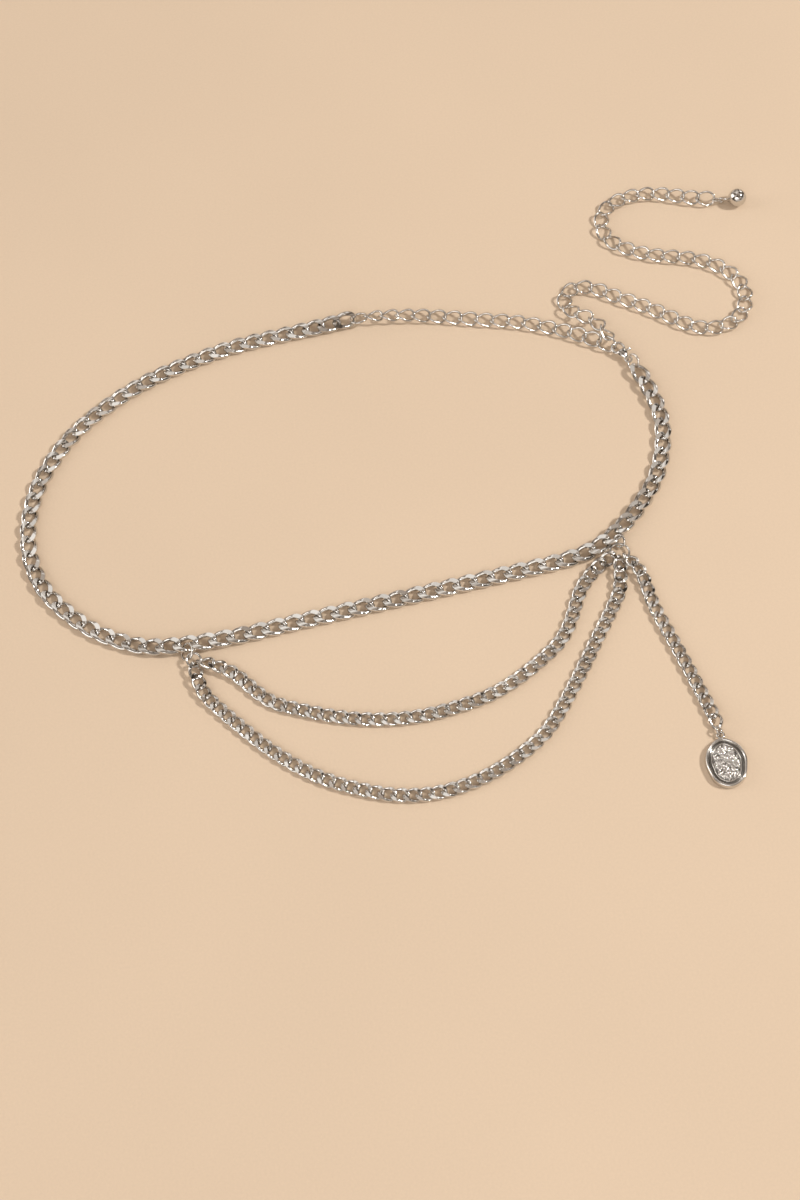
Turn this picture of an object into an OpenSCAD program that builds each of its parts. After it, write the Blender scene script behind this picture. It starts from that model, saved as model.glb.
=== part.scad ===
/*
Waist chain: a curb chain for the waist, two chains that hang in curves
across the front, a drop chain with a pendant, and a lobster clasp that
closes on an extension chain, whose free tail ends in a ball.
It lies as it was laid out on a table, in millimetres, the table at z = 0.
*/

/* [Belt chain] */
// Wire of the belt chain
belt_wire = 2.1; // [2.0:0.05:2.15]
// Width of the belt chain over its links
belt_width = 8.5; // [8.4:0.1:8.8]
// Height over the flat faces cut on the belt links
belt_flat = 3.2; // [3.1:0.1:3.6]

/* [Front chains] */
// Wire of the two chains that hang across the front
swag_wire = 1.5; // [1.4:0.05:1.55]
// Width of the two front chains
swag_width = 7.0; // [6.9:0.1:7.1]
// Height over the flat faces cut on the front chains
swag_flat = 2.5; // [2.4:0.1:2.8]
// Wire of the drop chain
drop_wire = 1.45; // [1.35:0.05:1.5]
// Width of the drop chain
drop_width = 6.7; // [6.6:0.1:6.8]

/* [Extension chain] */
// Wire of the extension chain and its tail
extension_wire = 1.15; // [1.05:0.05:1.2]
// Width of the extension chain
extension_width = 8.0; // [7.9:0.05:8.1]

/* [Rings] */
// Wire of the jump rings on the belt chain
ring_wire = 1.1; // [1.0:0.02:1.12]
// Wire of the small rings that hold the pendant and the ball
small_ring_wire = 0.85; // [0.75:0.05:0.9]

/* [Clasp] */
// Wire of the clasp's hook
hook_wire = 1.6; // [1.5:0.05:1.65]
// Thickness of the clasp's lever
lever_thickness = 1.2; // [1.0:0.1:1.3]
// Gap between the lever and its slot
lever_play = 0.2; // [0.15:0.05:0.3]
// Diameter of the pin that the lever turns on
pin_diameter = 0.7; // [0.6:0.05:0.8]

/* [Pendant and ball] */
// Width of the pendant
pendant_width = 18.6; // [17:0.2:20]
// Length of the pendant without its loop
pendant_length = 23.8; // [23:0.2:24.2]
// Height of the pendant's rim
pendant_height = 3.0; // [2.8:0.1:3.6]
// Width of the pendant's rim
rim_width = 1.7; // [1.3:0.1:2.0]
// Diameter of the ball at the end of the tail
ball_diameter = 9.0; // [8.5:0.1:9.6]

/* [Hidden] */
$fn = 48;

SILVER = [0.80, 0.79, 0.77];
BRIGHT = [0.88, 0.87, 0.85];

// Links are drawn at a hundredth of their size and enlarged, so that their arcs meet to the last digit.
small = 0.01;

// Each kind of link: wire, width, play to its neighbour, rise of the side, length of the shoulder, height.
BELT = [belt_wire, belt_width, 0.30, 27, 2.4, belt_flat];
SWAG = [swag_wire, swag_width, 0.26, 32, 2.2, swag_flat];
DROP = [drop_wire, drop_width, 0.26, 30, 2.1, swag_flat];
EXTENSION = [extension_wire, extension_width, 0.42, 30, 2.6, 3.8];
// How far the ends of a link lean out of its plane
lean = 45;
// Links that meet a ring turn on their side, more so the nearer they are
end_roll = 28;
fade = 4;

belt_links = 78;
upper_links = 41;
lower_links = 52;
drop_links = 17;
used_links = 16;
tail_links = 40;
// Belt links that the rings of the front chains pass through
left_link = 40;
right_link = 65;

// Rings: centre, direction of the axis, radius of the wire's centre line.
END_RING = [[-15.31, 101.83, 2.94], [-0.16, 0.38, 0.91], 4.2];
LEFT_RING = [[-105.68, -75.49, 3.37], [-0.706, -0.121, 0.698], 3.9];
LEFT_JOINING = [[-102.79, -79.93, 3.45], [0.21, -0.264, 0.941], 3.2];
RIGHT_RING = [[95.86, -38.06, 3.2], [0.595, 0.482, -0.643], 2.8];
RIGHT_JOINING = [[95.44, -43.3, 2.44], [0.07, 0.05, 1.0], 4.4];
CLASP_RING = [[115.42, 60.6, 3.9], [-0.785, -0.435, 0.45], 3.6];
PENDANT_RING = [[126.94, -137.35, 2.07], [0.79, -0.08, 0.61], 2.05];
BALL_RING = [[170.56, 155.96, 2.38], [0.13, 0.59, 0.79], 2.4];

// Clasp: middle, height above the table, direction towards the hook.
clasp_at = [110.9, 67.4, 2.8];
clasp_turn = 120.4;
hook_radius = 3.0;
hook_middle = 3.1;
eye_middle = -5.1;
eye_radius = 1.6;
eye_wire = 0.95;
pivot = [0.3, -1.15];
tip_radius = 4.4;
body_radius = 2.05;

// Pendant: middle, direction of its long axis.
pendant_at = [127.9, -152.9];
pendant_turn = 2.6;
pendant_loop = [13.5, 1.5, 0.9];
ball_at = [180.9, 154.6];
// Neck of the ball: direction on the table, slope down, distance to its loop, radius and wire of the loop.
neck_turn = 170.9;
neck_drop = 18;
neck_length = 8.3;
ball_loop = [1.4, 0.9];

// Where the chains lie: points on the table, each with a lift above it.
belt_route = [
    [-18.5, 101.9, 0], [-29, 100, 0], [-54.6, 96.6, 0], [-80.1, 91.7, 0], [-105.7, 83, 0],
    [-123.4, 75, 0], [-141.2, 63.4, 0], [-156.2, 50.1, 0], [-167.3, 35.1, 0], [-174.6, 20, 0],
    [-178.2, 4.7, 0], [-178.7, -9.3, 0], [-176.8, -22, 0], [-170.8, -36.3, 0], [-161.3, -48.1, 0],
    [-149.6, -58.6, 0], [-136.7, -65.9, 0], [-121.6, -71, 0], [-98.7, -71, 0], [-53.9, -64.2, 0],
    [-7.4, -57, 0], [39.5, -49.7, 0], [67.8, -45.1, 0], [80.5, -42.1, 0], [90, -37.4, 0],
    [99.4, -29.4, 0], [104.5, -23.6, 0], [109.2, -17.7, 0], [114, -10.9, 0], [118.1, -4, 0],
    [120.7, 3.2, 0], [123, 10.9, 0], [124.4, 18.8, 0], [124.9, 27.3, 0], [123.9, 35.1, 0],
    [121.8, 43, 0], [119.8, 49.5, 0], [116.5, 58, 0]
];
used_route = [
    [-12.1, 102.2, 0], [5.2, 101.7, 0], [20, 100.1, 0], [34.7, 97.2, 0], [49.3, 94.3, 0],
    [63.9, 91.5, 0], [75.8, 87.4, 0], [87.6, 82.5, 0], [96.8, 77.2, 0], [107.6, 71, -0.3]
];
tail_route = [
    [106.16, 75.55, 0.63], [103.12, 82.51, 0.11], [98.34, 88.45, 1.12], [91.69, 92.22, 1.28],
    [86.9, 97.9, 0.2], [85.9, 102.4, 0], [89.5, 108.2, 0], [96.5, 110, 0], [105.1, 106.6, 0],
    [114.7, 100.5, 0], [124, 95.6, 0], [133.1, 89.6, 0], [142, 83.3, 0], [148.8, 79.2, 0],
    [156.8, 77.4, 0], [165.5, 79, 0], [172.1, 84, 0], [175.7, 91.4, 0], [175.9, 100.1, 0],
    [172.5, 107.9, 0], [166.2, 114.5, 0], [157.4, 119.4, 0], [147.7, 122.3, 0], [135.4, 124.8, 0],
    [125.9, 128.4, 0], [117.1, 133.4, 0], [111.8, 140, 0], [110.7, 148, 0], [113.1, 155.4, 0],
    [118.7, 160.6, 0], [128.2, 163.8, 0], [138.5, 164.2, 0], [148.3, 161.7, 0], [158, 158.3, 0],
    [168.8, 155.9, 0]
];
upper_route = [
    [-69.6, -102.9, 0], [-56.4, -108.5, 0], [-38.8, -114, 0], [-21.1, -117, 0], [-3.2, -117.1, 0],
    [14.9, -113.9, 0], [33.5, -107.8, 0], [52.9, -95.2, 0], [65.6, -82.7, 0]
];
lower_route = [
    [-77.2, -120.5, 0], [-64.4, -132, 0], [-49.5, -142.2, 0], [-32.4, -149.6, 0], [-15.1, -154.2, 0],
    [2.4, -154.5, 0], [20.4, -150, 0], [39, -140.3, 0], [54.7, -126.8, 0], [84.9, -77.8, 0]
];
drop_route = [
    [107.8, -74.1, 0], [112.6, -88.5, 0], [117.3, -102.7, 0], [121.9, -117.2, 0], [125.4, -129, 0],
    [126.95, -135.9, 0.5]
];
// Where the front chains leave the joining rings: middle of the ring, distance of the first hinge.
left_fan = [[-102.6, -79.9, 0], 2.35];
right_fan = [[95.1, -43.5, 0], 3.42];

function unit(v) = v / norm(v);
function polar(r, angle) = [r * cos(angle), r * sin(angle), 0];
function total(v, n) = n == 0 ? [0, 0, 0] : v[n - 1] + total(v, n - 1);

// Steps of a chain that leaves a ring at angle from and turns to angle to.
function leave(fan, at, from, to, steps, pitch) =
    let (turns = [for (i = [0 : steps - 1]) polar(pitch, from + (to - from) * (i + 0.5) / steps)])
    [for (i = [0 : steps]) fan[0] + polar(fan[1], at) + total(turns, i)];
function first(v, n) = [for (i = [0 : n - 1]) v[i]];
function reversed(v) = [for (i = [len(v) - 1 : -1 : 0]) v[i]];

upper_ends = [first(leave(left_fan, -14, -14, -42, 4, 5.54), 4),
    first(leave(right_fan, 208, 208, 236, 4, 5.54), 5)];
lower_ends = [first(leave(left_fan, -90, -88, -50, 4, 5.54), 4),
    first(leave(right_fan, 268, 268, 254, 4, 5.54), 4)];
drop_start = first(leave(right_fan, 320, -42, -100, 4, 5.67), 4);

// A smooth curve through the points of a route.
function before(p, i) = i == 0 ? 2 * p[0] - p[1] : p[i - 1];
function after(p, i) = i == len(p) - 2 ? 2 * p[i + 1] - p[i] : p[i + 2];
function slope(a, b, c, step) = (c - a) / (norm(b - a) + norm(c - b)) * step;
function curve(p, i, t) =
    let (step = norm(p[i + 1] - p[i]),
        s1 = slope(before(p, i), p[i], p[i + 1], step),
        s2 = slope(p[i], p[i + 1], after(p, i), step))
    (2 * t ^ 3 - 3 * t ^ 2 + 1) * p[i] + (t ^ 3 - 2 * t ^ 2 + t) * s1
        + (3 * t ^ 2 - 2 * t ^ 3) * p[i + 1] + (t ^ 3 - t ^ 2) * s2;
function smooth(p) = concat([for (i = [0 : len(p) - 2], j = [0 : 11]) curve(p, i, j / 12)], [p[len(p) - 1]]);
function lengths(c) =
    [for (i = 0, s = 0; i < len(c); s = s + (i < len(c) - 1 ? norm(c[i + 1] - c[i]) : 0), i = i + 1) s];

// Hinges of a chain of n links: equal steps along its route, or steps between marked links.
function spread(route, n, marks) =
    let (c = smooth(route),
        s = lengths(c),
        end = s[len(s) - 1],
        xs = [for (i = [0 : len(c) - 1]) [s[i], c[i].x]],
        ys = [for (i = [0 : len(c) - 1]) [s[i], c[i].y]],
        zs = [for (i = [0 : len(c) - 1]) [s[i], c[i].z]])
    [for (j = [0 : n]) let (d = end * lookup(j, marks)) [lookup(d, xs), lookup(d, ys), lookup(d, zs)]];
function even(n) = [[0, 0], [n, 1]];
function rolls(n, from, to) = [for (j = [0 : n]) from * max(0, 1 - j / fade) + to * max(0, 1 - (n - j) / fade)];
// Height at which a rolled link rests on the table.
function rest(kind, roll) = kind[5] / 2 * cos(roll) + 0.475 * kind[1] * abs(sin(roll));
function hump(j, at, height) = height * min(1, max(0, 1 - (abs(j - at) - 0.5) / 3));
function raised(hinges, kind, turns, lifts) =
    [for (j = [0 : len(hinges) - 1]) hinges[j] + [0, 0, rest(kind, turns[j]) + lifts[j]]];
function flat(n) = [for (j = [0 : n]) 0];

// The belt rises where rings pass under it, and these shares of its length end at the marked links.
belt_marks = [[0, 0], [left_link + 0.5, 0.5103], [right_link + 0.5, 0.8345], [belt_links, 1]];
belt_lifts = [for (j = [0 : belt_links])
    hump(j, left_link + 0.5, 1.6) + hump(j, right_link + 0.5, 1.6) + hump(j, belt_links, 1.3)];
belt_rolls = rolls(belt_links, -end_roll, 0);
belt_hinges = raised(spread(belt_route, belt_links, belt_marks), BELT, belt_rolls, belt_lifts);

used_rolls = rolls(used_links, -end_roll, 34);
used_hinges = raised(spread(used_route, used_links, even(used_links)), EXTENSION, used_rolls, flat(used_links));
// The tail starts on the last used link and turns back over the links before it.
tail_start = [28, 46, -13, 11];
tail_rolls = [for (j = [0 : tail_links])
    j < 4 ? tail_start[j] : end_roll * max(0, 1 - (tail_links - j) / fade)];
tail_hinges = raised(spread(tail_route, tail_links, even(tail_links)), EXTENSION, tail_rolls, flat(tail_links));

upper_path = concat(upper_ends[0], upper_route, reversed(upper_ends[1]));
upper_rolls = rolls(upper_links, -end_roll, end_roll);
upper_hinges = raised(spread(upper_path, upper_links, even(upper_links)), SWAG, upper_rolls, flat(upper_links));
lower_path = concat(lower_ends[0], lower_route, reversed(lower_ends[1]));
lower_rolls = rolls(lower_links, -end_roll, end_roll);
lower_hinges = raised(spread(lower_path, lower_links, even(lower_links)), SWAG, lower_rolls, flat(lower_links));
drop_path = concat(drop_start, drop_route);
drop_rolls = rolls(drop_links, -end_roll, end_roll);
drop_hinges = raised(spread(drop_path, drop_links, even(drop_links)), DROP, drop_rolls, flat(drop_links));

// Arc of wire from s, where it heads along t, to e.
module wire_arc(s, t, e, wire) {
    chord = e - s;
    axis = unit(cross(t, chord));
    inward = cross(axis, t);
    r = (chord * chord) / (2 * norm(cross(chord, t)));
    turn = 2 * asin(norm(chord) / (2 * r));
    c = s + r * inward;
    multmatrix([
        [-inward.x, t.x, axis.x, c.x],
        [-inward.y, t.y, axis.y, c.y],
        [-inward.z, t.z, axis.z, c.z],
        [0, 0, 0, 1]])
        rotate_extrude(angle = turn)
            translate([r, 0])
                circle(d = wire);
}

// A quarter of a twisted link: an arc from its end and an arc to the middle of its side.
module quarter(a, b, rise, shoulder, wire) {
    end = [a, 0, 0];
    side = [0, b, 0];
    from = [0, cos(lean), sin(lean)];
    to = [-cos(rise), 0, -sin(rise)];
    span = side - end;
    rest = (span * span - 2 * shoulder * (span * from)) / (2 * (span * to + shoulder * (1 - from * to)));
    knee = end + shoulder * from;
    back = side - rest * to;
    joint = knee + shoulder / (shoulder + rest) * (back - knee);
    wire_arc(end, from, joint, wire);
    wire_arc(joint, unit(back - knee), side, wire);
}

module curb(pitch, kind) {
    a = (pitch + kind[0] + kind[2]) / 2 * small;
    b = (kind[1] - kind[0]) / 2 * small;
    scale(1 / small)
        for (turn = [[0, 0, 0], [180, 0, 0], [0, 180, 0], [0, 0, 180]])
            rotate(turn)
                quarter(a, b, kind[3], kind[4] * small, kind[0] * small);
}

// A link between two hinges. The faces of a cut link are ground flat, top and bottom.
module link(from, to, roll, kind, cut) {
    x = unit(to - from);
    across = unit(cross([0, 0, 1], x));
    up = cross(x, across);
    y = cos(roll) * across + sin(roll) * up;
    z = cos(roll) * up - sin(roll) * across;
    m = (from + to) / 2;
    multmatrix([[x.x, y.x, z.x, m.x], [x.y, y.y, z.y, m.y], [x.z, y.z, z.z, m.z], [0, 0, 0, 1]])
        if (cut) {
            intersection() {
                curb(norm(to - from), kind);
                cube([30, 30, kind[5]], center = true);
            }
        } else {
            curb(norm(to - from), kind);
        }
}

module chain(hinges, turns, kind, cut, i0, i1) {
    for (i = [i0 : i1])
        link(hinges[i], hinges[i + 1], (turns[i] + turns[i + 1]) / 2, kind, cut);
}

// A round wire ring about an axis.
module jump_ring(pose, wire) {
    z = unit(pose[1]);
    x = unit(cross([0, 1, 0.01], z));
    y = cross(z, x);
    c = pose[0];
    multmatrix([[x.x, y.x, z.x, c.x], [x.y, y.y, z.y, c.y], [x.z, y.z, z.z, c.z], [0, 0, 0, 1]])
        rotate_extrude()
            translate([pose[2], 0])
                circle(d = wire);
}

module bow(from, to, radius, wire) {
    rotate([0, 0, from])
        rotate_extrude(angle = to - from)
            translate([radius, 0])
                circle(d = wire);
}

module place_clasp() {
    translate(clasp_at)
        rotate([0, 0, clasp_turn])
            children();
}

module belt_left() {
    color(BRIGHT)
        chain(belt_hinges, belt_rolls, BELT, true, 0, left_link);
}

module belt_right() {
    color(BRIGHT)
        chain(belt_hinges, belt_rolls, BELT, true, left_link + 1, belt_links - 1);
}

module extension_chain() {
    color(SILVER) {
        chain(used_hinges, used_rolls, EXTENSION, false, 0, used_links - 1);
        chain(tail_hinges, tail_rolls, EXTENSION, false, 0, tail_links - 1);
    }
}

module upper_swag() {
    color(BRIGHT)
        chain(upper_hinges, upper_rolls, SWAG, true, 0, upper_links - 1);
}

module lower_swag() {
    color(BRIGHT)
        chain(lower_hinges, lower_rolls, SWAG, true, 0, lower_links - 1);
}

module drop_chain() {
    color(BRIGHT)
        chain(drop_hinges, drop_rolls, DROP, true, 0, drop_links - 1);
}

module end_ring() {
    color(SILVER) jump_ring(END_RING, ring_wire);
}

module left_ring() {
    color(SILVER) jump_ring(LEFT_RING, ring_wire);
}

module left_joining_ring() {
    color(SILVER) jump_ring(LEFT_JOINING, ring_wire);
}

module right_ring() {
    color(SILVER) jump_ring(RIGHT_RING, ring_wire);
}

module right_joining_ring() {
    color(SILVER) jump_ring(RIGHT_JOINING, ring_wire);
}

module clasp_ring() {
    color(SILVER) jump_ring(CLASP_RING, ring_wire);
}

module pendant_ring() {
    color(SILVER) jump_ring(PENDANT_RING, small_ring_wire);
}

module ball_ring() {
    color(SILVER) jump_ring(BALL_RING, small_ring_wire);
}

// The hook is a bow of wire. Its tip is cut to a curve about the pivot, so that the lever swings past it.
module clasp_hook() {
    difference() {
        translate([hook_middle, 0, 0])
            bow(-75, 180, hook_radius, hook_wire);
        intersection() {
            translate([pivot.x, pivot.y, -3])
                cylinder(r = tip_radius + 0.25, h = 6);
            translate([1, -6, -3])
                cube([8, 4.6, 6]);
        }
    }
}

module clasp_body() {
    color(BRIGHT)
        place_clasp()
            difference() {
                union() {
                    clasp_hook();
                    translate([eye_middle, 0, 0])
                        bow(0, 360, eye_radius, eye_wire);
                    difference() {
                        rotate([0, 90, 0])
                            rotate_extrude()
                                polygon([[0, -3.7], [0.62, -3.7], [0.8, -3.5], [1.6, -2.0],
                                    [body_radius - 0.15, -0.9], [body_radius, 0.2],
                                    [body_radius - 0.1, 0.9], [body_radius - 0.5, 1.4], [0, 1.4]]);
                        translate([hook_middle, 0, -3])
                            cylinder(r = hook_radius - hook_wire / 2, h = 6);
                    }
                }
                translate([pivot.x - 1.2, -5, -lever_thickness / 2 - lever_play])
                    cube([3.4, 5.05, lever_thickness + 2 * lever_play]);
                translate([pivot.x, pivot.y, -3])
                    cylinder(d = pin_diameter, h = 6);
            }
}

module clasp_lever() {
    color(SILVER)
        place_clasp()
            difference() {
                union() {
                    intersection() {
                        translate([hook_middle, 0, 0])
                            bow(-150, -50, hook_radius, lever_thickness);
                        translate([pivot.x, pivot.y, -3])
                            cylinder(r = tip_radius, h = 6);
                    }
                    translate([pivot.x, pivot.y, -lever_thickness / 2])
                        cylinder(r = 0.9, h = lever_thickness);
                    translate([pivot.x, pivot.y, 0])
                        rotate([90, 0, -15])
                            cylinder(d1 = 1.0, d2 = 1.1, h = 3.1);
                    translate([pivot.x, pivot.y, 0])
                        rotate([0, 0, -105])
                            translate([3.2, 0, 0])
                                sphere(d = 1.6);
                }
                translate([pivot.x, pivot.y, -3])
                    cylinder(d = pin_diameter + 0.25, h = 6);
            }
}

module clasp_pin() {
    color(SILVER)
        place_clasp()
            translate([pivot.x, pivot.y, -1.5])
                cylinder(d = pin_diameter, h = 3);
}

// Outline of the pendant, drawn in by some distance: an oval with a soft, uneven edge.
function edge(angle) =
    let (across = pendant_width / 2, along = pendant_length / 2)
    across * along / sqrt((along * cos(angle)) ^ 2 + (across * sin(angle)) ^ 2)
        * (1 + 0.012 * sin(3 * angle + 40) + 0.010 * sin(5 * angle) + 0.006 * sin(8 * angle + 70) - 0.015);
function outline(inset) = [for (k = [0 : 71]) (edge(5 * k) - inset) * [cos(5 * k), sin(5 * k)]];

module slab(inset, z0, z1) {
    translate([0, 0, z0])
        linear_extrude(z1 - z0)
            polygon(outline(inset));
}

module band(outer, inner, z0, z1) {
    translate([0, 0, z0])
        linear_extrude(z1 - z0)
            difference() {
                polygon(outline(outer));
                polygon(outline(inner));
            }
}

// Rounded grains of the raised field, on two ovals about a middle grain.
module field(height) {
    for (k = [0 : 11])
        translate([4.6 * cos(30 * k + 8), 7.0 * sin(30 * k + 8), height])
            sphere(r = 1.05 + 0.15 * sin(100 * k));
    for (k = [0 : 6])
        translate([2.3 * cos(51.43 * k), 3.9 * sin(51.43 * k), height])
            sphere(r = 1.15 + 0.12 * cos(130 * k));
    translate([0, 0, height])
        sphere(r = 1.25);
}

module pendant() {
    color(SILVER)
        translate(pendant_at)
            rotate([0, 0, pendant_turn])
                union() {
                    slab(0.25, 0, 0.3);
                    slab(0, 0.3, 1.4);
                    band(0, rim_width, 1.4, pendant_height - 0.6);
                    band(0.25, rim_width - 0.15, pendant_height - 0.6, pendant_height - 0.25);
                    band(0.6, rim_width - 0.4, pendant_height - 0.25, pendant_height);
                    band(rim_width + 0.8, rim_width + 1.5, 1.4, 2.3);
                    slab(rim_width + 1.5, 1.4, 1.7);
                    field(1.5);
                    translate([0, pendant_loop[0], 1.6])
                        bow(0, 360, pendant_loop[1], pendant_loop[2]);
                }
}

module ball_drop() {
    color(BRIGHT)
        translate([ball_at.x, ball_at.y, ball_diameter / 2])
            union() {
                sphere(d = ball_diameter);
                rotate([0, 0, neck_turn])
                    rotate([0, neck_drop, 0]) {
                        rotate([0, 90, 0])
                            rotate_extrude()
                                polygon([[0, 3.4], [2.4, 3.4], [1.9, 4.4], [1.1, 5.3],
                                    [0.75, 6.2], [0.6, 7.1], [0, 7.1]]);
                        translate([neck_length, 0, 0])
                            rotate([90, 0, 0])
                                bow(0, 360, ball_loop[0], ball_loop[1]);
                    }
            }
}

belt_left();
belt_right();
extension_chain();
upper_swag();
lower_swag();
drop_chain();
end_ring();
left_ring();
left_joining_ring();
right_ring();
right_joining_ring();
clasp_ring();
clasp_body();
clasp_lever();
clasp_pin();
pendant_ring();
pendant();
ball_ring();
ball_drop();
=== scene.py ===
"""Waist chain on a pale table: cut curb links, an open extension chain, a clasp, a pendant and a ball."""

import math
import random

import bpy
from bpy.props import FloatProperty, FloatVectorProperty, PointerProperty
from mathutils import Matrix, Vector


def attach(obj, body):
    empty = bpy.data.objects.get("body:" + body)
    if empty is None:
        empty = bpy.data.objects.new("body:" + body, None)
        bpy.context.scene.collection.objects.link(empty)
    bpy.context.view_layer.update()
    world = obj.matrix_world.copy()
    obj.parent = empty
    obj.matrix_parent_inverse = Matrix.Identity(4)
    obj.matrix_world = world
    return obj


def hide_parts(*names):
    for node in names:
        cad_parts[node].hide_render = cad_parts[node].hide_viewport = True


bl_info = {
    "name": "Waist chain",
    "version": (1, 0, 0),
    "blender": (4, 5, 0),
    "location": "3D View > Sidebar > Waist chain",
    "description": "Dresses the solids of a waist chain with modelled links, rings, clasp, pendant and ball",
    "category": "Object",
}

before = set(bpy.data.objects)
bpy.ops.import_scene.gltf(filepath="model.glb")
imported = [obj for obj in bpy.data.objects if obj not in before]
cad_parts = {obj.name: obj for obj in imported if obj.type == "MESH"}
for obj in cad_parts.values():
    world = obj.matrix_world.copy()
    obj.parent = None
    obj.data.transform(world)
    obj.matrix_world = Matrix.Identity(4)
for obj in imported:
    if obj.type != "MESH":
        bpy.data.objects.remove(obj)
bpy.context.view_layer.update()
MM = 0.001

# Where the chains lie: points on the table in millimetres, each with a lift above it.
BELT_ROUTE = [
    (-18.5, 101.9, 0), (-29, 100, 0), (-54.6, 96.6, 0), (-80.1, 91.7, 0), (-105.7, 83, 0),
    (-123.4, 75, 0), (-141.2, 63.4, 0), (-156.2, 50.1, 0), (-167.3, 35.1, 0), (-174.6, 20, 0),
    (-178.2, 4.7, 0), (-178.7, -9.3, 0), (-176.8, -22, 0), (-170.8, -36.3, 0), (-161.3, -48.1, 0),
    (-149.6, -58.6, 0), (-136.7, -65.9, 0), (-121.6, -71, 0), (-98.7, -71, 0), (-53.9, -64.2, 0),
    (-7.4, -57, 0), (39.5, -49.7, 0), (67.8, -45.1, 0), (80.5, -42.1, 0), (90, -37.4, 0),
    (99.4, -29.4, 0), (104.5, -23.6, 0), (109.2, -17.7, 0), (114, -10.9, 0), (118.1, -4, 0),
    (120.7, 3.2, 0), (123, 10.9, 0), (124.4, 18.8, 0), (124.9, 27.3, 0), (123.9, 35.1, 0),
    (121.8, 43, 0), (119.8, 49.5, 0), (116.5, 58, 0),
]
USED_ROUTE = [
    (-12.1, 102.2, 0), (5.2, 101.7, 0), (20, 100.1, 0), (34.7, 97.2, 0), (49.3, 94.3, 0),
    (63.9, 91.5, 0), (75.8, 87.4, 0), (87.6, 82.5, 0), (96.8, 77.2, 0), (107.6, 71, -0.3),
]
TAIL_ROUTE = [
    (106.16, 75.55, 0.63), (103.12, 82.51, 0.11), (98.34, 88.45, 1.12), (91.69, 92.22, 1.28),
    (86.9, 97.9, 0.2), (85.9, 102.4, 0), (89.5, 108.2, 0), (96.5, 110, 0), (105.1, 106.6, 0),
    (114.7, 100.5, 0), (124, 95.6, 0), (133.1, 89.6, 0), (142, 83.3, 0), (148.8, 79.2, 0),
    (156.8, 77.4, 0), (165.5, 79, 0), (172.1, 84, 0), (175.7, 91.4, 0), (175.9, 100.1, 0),
    (172.5, 107.9, 0), (166.2, 114.5, 0), (157.4, 119.4, 0), (147.7, 122.3, 0), (135.4, 124.8, 0),
    (125.9, 128.4, 0), (117.1, 133.4, 0), (111.8, 140, 0), (110.7, 148, 0), (113.1, 155.4, 0),
    (118.7, 160.6, 0), (128.2, 163.8, 0), (138.5, 164.2, 0), (148.3, 161.7, 0), (158, 158.3, 0),
    (168.8, 155.9, 0),
]
UPPER_ROUTE = [
    (-69.6, -102.9, 0), (-56.4, -108.5, 0), (-38.8, -114, 0), (-21.1, -117, 0), (-3.2, -117.1, 0),
    (14.9, -113.9, 0), (33.5, -107.8, 0), (52.9, -95.2, 0), (65.6, -82.7, 0),
]
LOWER_ROUTE = [
    (-77.2, -120.5, 0), (-64.4, -132, 0), (-49.5, -142.2, 0), (-32.4, -149.6, 0), (-15.1, -154.2, 0),
    (2.4, -154.5, 0), (20.4, -150, 0), (39, -140.3, 0), (54.7, -126.8, 0), (84.9, -77.8, 0),
]
DROP_ROUTE = [
    (107.8, -74.1, 0), (112.6, -88.5, 0), (117.3, -102.7, 0), (121.9, -117.2, 0), (125.4, -129, 0),
    (126.95, -135.9, 0.5),
]

# Where the front chains leave their joining rings: a middle, and the distance of the first hinges from it.
LEFT_FAN = (Vector((-102.6, -79.9, 0)), 2.35)
RIGHT_FAN = (Vector((95.1, -43.5, 0)), 3.42)
SWAG_STEP = 5.54
DROP_STEP = 5.67

# Number of links of each chain, and the belt links that the left and the right ring pass through.
BELT_LINKS = 78
UPPER_LINKS = 41
LOWER_LINKS = 52
DROP_LINKS = 17
USED_LINKS = 16
TAIL_LINKS = 40
LEFT_LINK = 40
RIGHT_LINK = 65

# Roll of a chain's end links in degrees, and the number of links over which it fades.
END_ROLL = 28
FADE = 4
USED_END_ROLL = 34
# Rolls of the tail's first links, where it turns back over the used links.
TAIL_START_ROLLS = [28, 46, -13, 11]

# Pitch in metres at which a link of each kind is modelled, before it is fitted to its own place.
BELT_PITCH = 0.00807
FRONT_PITCH = 0.0056
EXTENSION_PITCH = 0.0077
# Height of the extension's uncut links, in millimetres.
EXTENSION_HEIGHT = 3.8
# How far the ends of a link lean out of its plane, in degrees.
END_LEAN = 45
# Share of a link's width on which it rests when it is rolled onto its side.
SIDE_REST = 0.475

# Rings: centre, direction of the axis, radius of the wire's centre line, in millimetres.
RINGS = {
    "end_ring": ((-15.31, 101.83, 2.94), (-0.16, 0.38, 0.91), 4.2),
    "left_ring": ((-105.68, -75.49, 3.37), (-0.706, -0.121, 0.698), 3.9),
    "left_joining_ring": ((-102.79, -79.93, 3.45), (0.21, -0.264, 0.941), 3.2),
    "right_ring": ((95.86, -38.06, 3.2), (0.595, 0.482, -0.643), 2.8),
    "right_joining_ring": ((95.44, -43.3, 2.44), (0.07, 0.05, 1.0), 4.4),
    "clasp_ring": ((115.42, 60.6, 3.9), (-0.785, -0.435, 0.45), 3.6),
    "pendant_ring": ((126.94, -137.35, 2.07), (0.79, -0.08, 0.61), 2.05),
    "ball_ring": ((170.56, 155.96, 2.38), (0.13, 0.59, 0.79), 2.4),
}
SMALL_RINGS = ("pendant_ring", "ball_ring")
# Width in metres of the cut where a ring was closed, and how far the cut is turned on the rings, in radians.
RING_CUT = 0.00012
FIRST_CUT, CUT_STEP = 0.9, 2.1

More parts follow.
